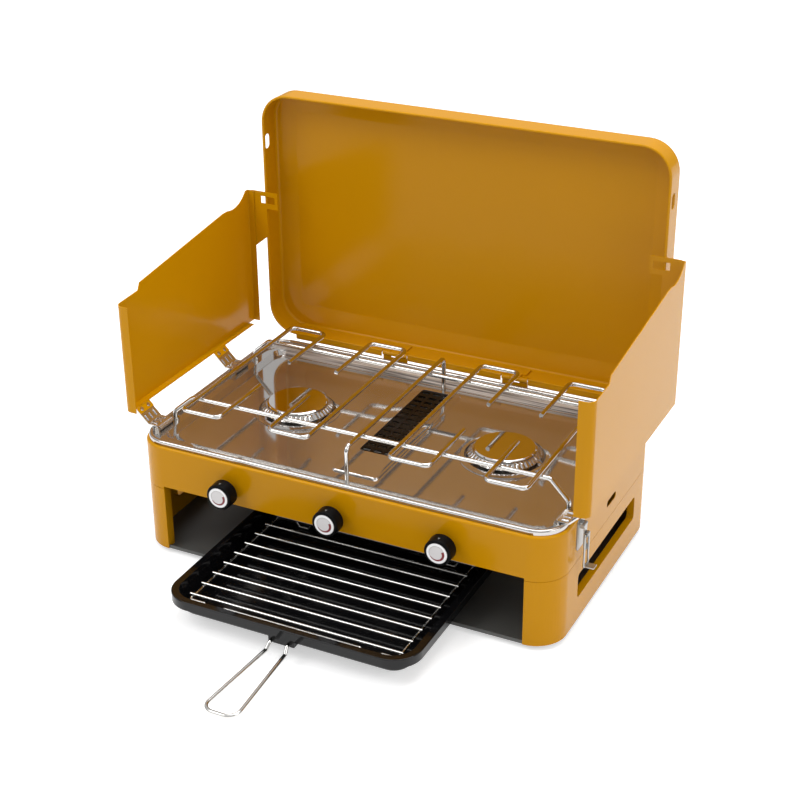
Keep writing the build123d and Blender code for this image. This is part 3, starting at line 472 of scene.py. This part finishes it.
class STOVE_OT_finishes(bpy.types.Operator):
    """Make the stove's materials"""

    bl_idname = "stove.finishes"
    bl_label = "Finishes"

    def execute(self, context):
        look = context.scene.stove_finish
        drift_group()
        relief_group()
        even = (1, 1, 1)
        surface("mustard paint", look.paint, look.paint_gloss, 0, (5, 0.05, 0.05), (900, even, 0.05), 0.12)
        surface("hob steel", look.steel, 0.07, 0.9, (14, 0.05, 0.04), (60, (1, 14, 1), 0.02))
        # Rear ledge: brushed streaks plus a painted reflection, a paler and less metallic band standing in
        # for bright light reflected there
        self.brush_ledge_and_paint_reflection(bpy.data.materials["hob steel"])
        surface("burner steel", look.steel, 0.13, 0.92, (30, 0.06, 0.06), (500, even, 0.05))
        surface("bright chrome", look.chrome, 0.08, 1, (40, 0.06, 0.04))
        surface("mirror cap", look.cap, 0.05, 1, (30, 0.06, 0.03))
        surface("latch steel", look.latch, 0.3, 1, (90, 0.3, 0.15), (420, even, 0.25))
        surface("rib chrome", look.chrome, 0.2, 0.95, (60, 0.1, 0.1), (260, even, 0.1))
        surface("vent black", look.enamel, 0.3, 0, (60, 0.2, 0.1), (500, even, 0.1), 0.12)
        surface("black enamel", look.enamel, 0.1, 0, (12, 0.2, 0.04), (500, even, 0.04), 0.3)
        surface("grey tray", look.tray, 0.4, 0, (10, 0.15, 0.12), (700, even, 0.1))
        surface("knob plastic", (0.003, 0.003, 0.0035), 0.3, 0, (60, 0.2, 0.1), (1500, even, 0.1), 0.06)
        surface("dial silver", (0.72, 0.7, 0.7), 0.3, 0, (60, 0.05, 0.1))
        surface("dial white", (0.97, 0.97, 0.98), 0.22, 0, (60, 0.03, 0.06))
        surface("dial grey", (0.16, 0.16, 0.16), 0.4, 0, (60, 0.1, 0.05))
        surface("dial red", look.mark, 0.3, 0, (60, 0.1, 0.05))
        surface("plated steel", (0.5, 0.5, 0.49), 0.3, 1, (25, 0.12, 0.12), (300, even, 0.08))
        surface("brass", (0.62, 0.43, 0.17), 0.3, 1, (40, 0.12, 0.1))
        surface("rubber", (0.012, 0.012, 0.012), 0.75, 0, (60, 0.2, 0.1), (900, even, 0.2))
        return {"FINISHED"}

    def brush_ledge_and_paint_reflection(self, material):
        """Brushed steel on the hob's rear ledge and the slope below it, painted paler and less metallic there
        as a painted reflection of something bright.
        """
        tree = material.node_tree
        shader = tree.nodes["Principled BSDF"]
        place = tree.nodes.new("ShaderNodeTexCoord")
        parts = tree.nodes.new("ShaderNodeSeparateXYZ")
        tree.links.new(place.outputs["Object"], parts.inputs[0])
        # Mask of the rear ledge and slope, where the painted reflection goes
        reflection_zone = None
        ledge = (("Y", (0.1245, 0.1252, 0.1422, 0.1428)), ("Z", (0.1242, 0.1246, 0.1302, 0.1306)))
        for axis, edges in ledge:
            for start, end, rising in ((edges[0], edges[1], 1), (edges[2], edges[3], 0)):
                edge = tree.nodes.new("ShaderNodeMapRange")
                edge.inputs["From Min"].default_value = start
                edge.inputs["From Max"].default_value = end
                edge.inputs["To Min"].default_value = 1 - rising
                edge.inputs["To Max"].default_value = rising
                tree.links.new(parts.outputs[axis], edge.inputs["Value"])
                if reflection_zone is None:
                    reflection_zone = edge
                    continue
                both = tree.nodes.new("ShaderNodeMath")
                both.operation = "MULTIPLY"
                tree.links.new(reflection_zone.outputs[0], both.inputs[0])
                tree.links.new(edge.outputs[0], both.inputs[1])
                reflection_zone = both
        streaks = tree.nodes.new("ShaderNodeGroup")
        streaks.node_tree = bpy.data.node_groups["fine relief"]
        streaks.inputs["Scale"].default_value = 9
        streaks.inputs["Stretch"].default_value = (1, 60, 60)
        # Pale streaky grey: painted reflection laid over the brushed grain
        ramp = tree.nodes.new("ShaderNodeMapRange")
        ramp.inputs["From Min"].default_value = 0.35
        ramp.inputs["From Max"].default_value = 0.62
        ramp.inputs["To Min"].default_value = 0.18
        ramp.inputs["To Max"].default_value = 0.86
        tree.links.new(streaks.outputs[0], ramp.inputs["Value"])
        for label, value in (("Base Color", ramp), ("Roughness", 0.42), ("Metallic", 0.55)):
            socket = shader.inputs[label]
            blend = tree.nodes.new("ShaderNodeMix")
            tree.links.new(reflection_zone.outputs[0], blend.inputs["Factor"])
            if label == "Base Color":
                blend.data_type = "RGBA"
                tree.links.new(socket.links[0].from_socket, blend.inputs[6])
                tree.links.new(value.outputs[0], blend.inputs[7])
                tree.links.new(blend.outputs[2], socket)
                continue
            if socket.is_linked:
                tree.links.new(socket.links[0].from_socket, blend.inputs[2])
            else:
                blend.inputs[2].default_value = socket.default_value
            blend.inputs[3].default_value = value
            tree.links.new(blend.outputs[0], socket)


class STOVE_OT_panels(bpy.types.Operator):
    """Painted sheet metal: housing, lid, wind shields"""

    bl_idname = "stove.panels"
    bl_label = "Painted panels"

    def execute(self, context):
        for node in (
            "base_housing",
            "upper_housing",
            "left_shield_panel",
            "right_shield_panel",
            "lid_hinge_brackets",
            "lid_hinge_leaves",
        ):
            refine(node, "mustard paint")
        catches = refine("shield_catches", "mustard paint")
        self.tuck_behind(catches)
        self.press_lid()
        self.hang_lip()
        return {"FINISHED"}

    def tuck_behind(self, catches):
        """Runs the outer edges of the catches on, behind the shields."""
        overlap = 0.004
        reach = max(abs(point.co.x) for point in catches.data.vertices)
        for point in catches.data.vertices:
            if abs(point.co.x) > reach - 1e-4:
                point.co.x += math.copysign(overlap, point.co.x)

    def press_lid(self):
        """Lid with a rolled hem and a raised panel inside a sloping border."""
        low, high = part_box("lid_shell")
        middle = (low + high) / 2
        half_x, half_z = (high.x - low.x) / 2, (high.z - low.z) / 2
        deep = high.y - low.y
        sheet = 0.001
        hem = 0.003
        border = 0.027
        panel = border + 0.004
        wall = deep - 0.0045
        wall_in = wall - 0.85 * sheet
        crease, outer_bend, inner_bend, roll, trim = 0.02, 0.005, 0.004, 0.0013, 0.0003
        section = eased(
            (
                (panel, deep),
                (border, deep),
                (0, wall),
                (0, 0),
                (hem, 0),
                (hem, hem),
                (sheet, hem),
                (sheet, wall_in),
                (border, deep - sheet),
                (panel, deep - sheet),
            ),
            (crease, outer_bend, roll, roll, trim, trim, inner_bend, crease),
        )
        bm = bmesh.new()
        loops = []
        for inset, depth in section:
            loop = rounded_loop(half_x - inset, half_z - inset, LID_CORNER - inset)
            loops.append([(middle.x + x, low.y + depth, middle.z + z) for x, z in loop])
        loft(bm, loops)
        lid = made(bm, "lid_shell_skin", "lid", "mustard paint", 25)
        carve(lid, self.lid_openings(low, middle.x))
        smooth(lid.data, 25)
        even_shading(lid)
        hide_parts("lid_shell")

    def lid_openings(self, low, middle):
        """Cutters for the notches at the hinges and the latch slots in the side walls."""
        notch_size = (0.034, 0.0089, 0.005)
        notch_lift = (0.00345, 0.0015)
        slot_radius = 0.0054
        past_walls = 0.3
        cutters = []
        for side in SIDES.values():
            notch = bmesh.new()
            bmesh.ops.create_cube(notch, size=1)
            bmesh.ops.scale(notch, verts=notch.verts, vec=notch_size)
            spot = (middle + side * HINGE_X, low.y + notch_lift[0], low.z + notch_lift[1])
            bmesh.ops.translate(notch, verts=notch.verts, vec=spot)
            cutters.append(notch)
        slot = bmesh.new()
        across = rounded_loop(*LATCH_SLOT_HALF, slot_radius)
        ends = (middle - past_walls, middle + past_walls)
        loft(slot, [[(x, LATCH_SLOT[0] + y, LATCH_SLOT[1] + z) for y, z in across] for x in ends])
        cutters.append(slot)
        return cutters

    def hang_lip(self):
        """Lower edge of the lid, folded down behind the hob's rim between the hinges."""
        low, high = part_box("lid_shell")
        corner = 0.036
        gap = 0.0172
        sheet = 0.0008
        tall = 0.0062
        behind = 0.0006
        drop = 0.0023
        edge = 0.0003
        ends = (low.x + corner, -HINGE_X - gap, -HINGE_X + gap, HINGE_X - gap, HINGE_X + gap, high.x - corner)
        bm = bmesh.new()
        for start, end in zip(ends[::2], ends[1::2]):
            strip = bmesh.ops.create_cube(bm, size=1)["verts"]
            bmesh.ops.scale(bm, verts=strip, vec=(end - start, sheet, tall))
            bmesh.ops.translate(bm, verts=strip, vec=((start + end) / 2, low.y + behind, low.z - drop))
        bmesh.ops.bevel(
            bm,
            geom=bm.edges,
            offset=edge,
            offset_type="OFFSET",
            segments=2,
            profile=0.5,
            affect="EDGES",
            material=-1,
        )
        made(bm, "lid_lip", "lid", "mustard paint")


class STOVE_OT_hob(bpy.types.Operator):
    """Polished hob with its burners and vent"""

    bl_idname = "stove.hob"
    bl_label = "Hob and burners"

    def execute(self, context):
        refine("hob_tray", "hob steel")
        keep("grill_vent", "vent black")
        for name in SIDES:
            refine(name + "_burner_well", "hob steel")
            refine(name + "_burner_head", "burner steel")
            refine(name + "_burner_cap", "mirror cap")
            refine(name + "_burner_cup", "burner steel")
        return {"FINISHED"}


class STOVE_OT_wirework(bpy.types.Operator):
    """Chrome wire pieces and straps"""

    bl_idname = "stove.wirework"
    bl_label = "Wirework"

    def execute(self, context):
        for node in (
            "pan_support",
            "pan_support_clips",
            "pan_rack",
            "pan_handle",
            "shield_clips",
            "shield_pins",
        ):
            refine(node, "bright chrome", 40)
        for name in SIDES:
            refine(name + "_shield_straps", "rib chrome", 40)
        return {"FINISHED"}


class STOVE_OT_grill(bpy.types.Operator):
    """Grill pan, base tray and the grill burner"""

    bl_idname = "stove.grill"
    bl_label = "Grill"

    def execute(self, context):
        refine("grill_pan", "black enamel")
        refine("base_tray", "grey tray")
        keep("pan_handle_socket", "black enamel")
        for node in ("heat_shield", "grill_burner", "grill_burner_mesh"):
            keep(node, "plated steel")
        return {"FINISHED"}


class STOVE_OT_gas(bpy.types.Operator):
    """Valves, rail, tubes and inlet"""

    bl_idname = "stove.gas"
    bl_label = "Gas parts"

    def execute(self, context):
        for name in ("left", "grill", "right"):
            keep(name + "_valve", "brass")
            refine(name + "_valve_stem", "brass")
            refine(name + "_supply_tube", "plated steel")
        refine("gas_rail", "plated steel")
        refine("gas_inlet", "brass")
        return {"FINISHED"}


class STOVE_OT_knobs(bpy.types.Operator):
    """Knobs and their dials"""

    bl_idname = "stove.knobs"
    bl_label = "Knobs"

    def execute(self, context):
        for body in KNOB_BODIES:
            refine(body, "knob plastic")
            refine(body + "_dial", "dial silver")
            self.mark_dial(body)
        return {"FINISHED"}

    def mark_dial(self, body):
        """White rim, red heat arc and grey line on a dial, and the pointer on the knob."""
        low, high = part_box(body + "_dial")
        face = Vector(((low.x + high.x) / 2, low.y, (low.z + high.z) / 2))
        out = (high.x - low.x) / 2
        for label, radii, sweep, depth, steps, finish in (
            ("_dial_rim", ((0.78, 0.97), (0.78, 0.97)), (0, 360), 0.0003, 72, "dial white"),
            ("_heat_arc", ((0.48, 0.74), (0.7, 0.74)), (25, -150), 0.0002, 48, "dial red"),
            ("_dial_line", ((0.71, 0.735), (0.71, 0.735)), (205, 25), 0.00015, 48, "plated steel"),
        ):
            ring = bmesh.new()
            band(ring, face, [[share * out for share in pair] for pair in radii], sweep, depth, steps)
            made(ring, body + label, body, finish)
        grip_low, grip_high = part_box(body)
        radius = (grip_high.z - grip_low.z) / 2
        mark = bmesh.new()
        half = 0.0013
        tip, tail = (0.0034, 0.2), (0.006, 0.9)
        sunk, proud = -0.0004, 0.00015
        for along, wide in (tip, tail):
            for side in (-1, 1):
                reach = side * wide * half
                drop = radius - math.sqrt(radius**2 - reach**2)
                for lift in (sunk, proud):
                    mark.verts.new((face.x + reach, grip_low.y + along, face.z + radius - drop + lift))
        bmesh.ops.convex_hull(mark, input=mark.verts)
        made(mark, body + "_pointer", body, "dial grey")


class STOVE_OT_fittings(bpy.types.Operator):
    """Latches, hinges, screws and feet"""

    bl_idname = "stove.fittings"
    bl_label = "Fittings"

    def execute(self, context):
        for name in SIDES:
            for piece in ("base", "lever", "bail"):
                refine(name + "_latch_" + piece, "latch steel")
        for node in ("lid_hinge_pins", "hinge_screws"):
            refine(node, "plated steel")
        refine("rubber_feet", "rubber")
        return {"FINISHED"}


class STOVE_OT_stage(bpy.types.Operator):
    """Floor, soft light and camera"""

    bl_idname = "stove.stage"
    bl_label = "Stage"

    def execute(self, context):
        scene = context.scene
        stage = scene.stove_stage
        self.lay_floor(stage.floor)
        self.light_world(scene)
        self.hang_lamp("key_lamp", stage.key, 1.6, (-1.5, -1.6, 2.4))
        self.hang_lamp("side_lamp", stage.side, 1.4, (2.4, -0.4, 1.3))
        self.hang_lamp("top_lamp", stage.top, 1.8, (0.2, 0.5, 2.6))
        self.set_camera(scene, stage)
        scene.view_settings.view_transform = "Standard"
        return {"FINISHED"}

    def lay_floor(self, size):
        """Pale floor under the feet, lifted to white for the camera and for reflections."""
        bm = bmesh.new()
        bmesh.ops.create_grid(bm, x_segments=1, y_segments=1, size=size / 2)
        bmesh.ops.translate(bm, verts=bm.verts, vec=(0, 0, CAD_BOX[0][2]))
        mesh = bpy.data.meshes.new("floor")
        bm.to_mesh(mesh)
        bm.free()
        floor = link("floor", mesh)
        material, tree, shader = new_material("floor white")
        shader.inputs["Base Color"].default_value = (0.8, 0.8, 0.8, 1)
        shader.inputs["Roughness"].default_value = 0.9
        shader.inputs["Specular IOR Level"].default_value = 0
        path = tree.nodes.new("ShaderNodeLightPath")
        seen = tree.nodes.new("ShaderNodeMath")
        seen.operation = "MAXIMUM"
        tree.links.new(path.outputs["Is Camera Ray"], seen.inputs[0])
        tree.links.new(path.outputs["Is Glossy Ray"], seen.inputs[1])
        lift = tree.nodes.new("ShaderNodeMath")
        lift.operation = "MULTIPLY"
        lift.inputs[1].default_value = 0.5
        tree.links.new(seen.outputs[0], lift.inputs[0])
        shader.inputs["Emission Color"].default_value = (1, 1, 1, 1)
        tree.links.new(lift.outputs[0], shader.inputs["Emission Strength"])
        mesh.materials.append(material)

    def light_world(self, scene):
        """White to the camera, a pale room with a dimmer band to everything else."""
        world = bpy.data.worlds.new("studio")
        scene.world = world
        world.use_nodes = True
        tree = world.node_tree
        base = tree.nodes["Background"]
        place = tree.nodes.new("ShaderNodeTexCoord")
        split = tree.nodes.new("ShaderNodeSeparateXYZ")
        ramp = tree.nodes.new("ShaderNodeValToRGB")
        tree.links.new(place.outputs["Generated"], split.inputs[0])
        remap = tree.nodes.new("ShaderNodeMapRange")
        remap.inputs["From Min"].default_value = -1
        tree.links.new(split.outputs["Z"], remap.inputs["Value"])
        tree.links.new(remap.outputs[0], ramp.inputs[0])
        below, horizon, wall, ceiling = (0.45, 0.25), (0.56, 0.35), (0.66, 0.75), (1.0, 1.0)
        bands = ramp.color_ramp.elements
        for index, (position, value) in enumerate((below, ceiling)):
            bands[index].position = position
            bands[index].color = (value, value, value, 1)
        for position, value in (horizon, wall):
            bands.new(position).color = (value, value, value, 1)
        tree.links.new(ramp.outputs[0], base.inputs["Color"])
        base.inputs["Strength"].default_value = 0.8
        white = tree.nodes.new("ShaderNodeBackground")
        white.inputs["Color"].default_value = (1, 1, 1, 1)
        path = tree.nodes.new("ShaderNodeLightPath")
        mix = tree.nodes.new("ShaderNodeMixShader")
        tree.links.new(path.outputs["Is Camera Ray"], mix.inputs[0])
        tree.links.new(base.outputs[0], mix.inputs[1])
        tree.links.new(white.outputs[0], mix.inputs[2])
        tree.links.new(mix.outputs[0], tree.nodes["World Output"].inputs["Surface"])

    def hang_lamp(self, name, power, size, spot):
        """Square soft lamp aimed at the stove."""
        data = bpy.data.lights.new(name, "AREA")
        data.energy = power
        data.size = size
        lamp = bpy.data.objects.new(name, data)
        bpy.context.scene.collection.objects.link(lamp)
        lamp.location = spot
        lamp.rotation_mode = "QUATERNION"
        lamp.rotation_quaternion = (Vector((0, 0, 0.15)) - Vector(spot)).to_track_quat("-Z", "Y")

    def set_camera(self, scene, stage):
        """Camera where the photograph was taken from."""
        yaw, pitch, roll = (math.radians(value) for value in (26.371, 26.686, -0.45))
        aside, above = 0.00144, 0.14768
        ahead = Vector((-math.sin(yaw) * math.cos(pitch), math.cos(yaw) * math.cos(pitch), -math.sin(pitch)))
        level = Vector((math.cos(yaw), math.sin(yaw), 0))
        upright = level.cross(ahead)
        right = math.cos(roll) * level + math.sin(roll) * upright
        up = math.cos(roll) * upright - math.sin(roll) * level
        data = bpy.data.cameras.new("camera")
        data.sensor_width = 36
        data.lens = stage.lens
        data.clip_end = 100
        camera = bpy.data.objects.new("camera", data)
        scene.collection.objects.link(camera)
        turn = Matrix((right, up, -ahead)).transposed().to_4x4()
        spot = -ahead * stage.distance + right * aside + up * above
        camera.matrix_world = Matrix.Translation(spot) @ turn
        scene.camera = camera


class STOVE_PT_panel(bpy.types.Panel):
    """Lists the stove's steps"""

    bl_idname = "STOVE_PT_panel"
    bl_label = "Camping stove"
    bl_space_type = "VIEW_3D"
    bl_region_type = "UI"
    bl_category = "Stove"

    def draw(self, context):
        for step in STEPS:
            self.layout.operator(step.bl_idname)
        for group in (context.scene.stove_finish, context.scene.stove_stage):
            for label in group.bl_rna.properties.keys():
                if label not in ("rna_type", "name"):
                    self.layout.prop(group, label)


STEPS = (
    STOVE_OT_finishes,
    STOVE_OT_panels,
    STOVE_OT_hob,
    STOVE_OT_wirework,
    STOVE_OT_grill,
    STOVE_OT_gas,
    STOVE_OT_knobs,
    STOVE_OT_fittings,
    STOVE_OT_stage,
)
CLASSES = (StoveFinish, StoveStage, *STEPS, STOVE_PT_panel)


def register():
    for entry in CLASSES:
        bpy.utils.register_class(entry)
    bpy.types.Scene.stove_finish = bpy.props.PointerProperty(type=StoveFinish)
    bpy.types.Scene.stove_stage = bpy.props.PointerProperty(type=StoveStage)


def unregister():
    del bpy.types.Scene.stove_stage
    del bpy.types.Scene.stove_finish
    for entry in reversed(CLASSES):
        bpy.utils.unregister_class(entry)


def main():
    register()
    for step in STEPS:
        group, name = step.bl_idname.split(".")
        getattr(getattr(bpy.ops, group), name)()


if __name__ == "__main__":
    main()
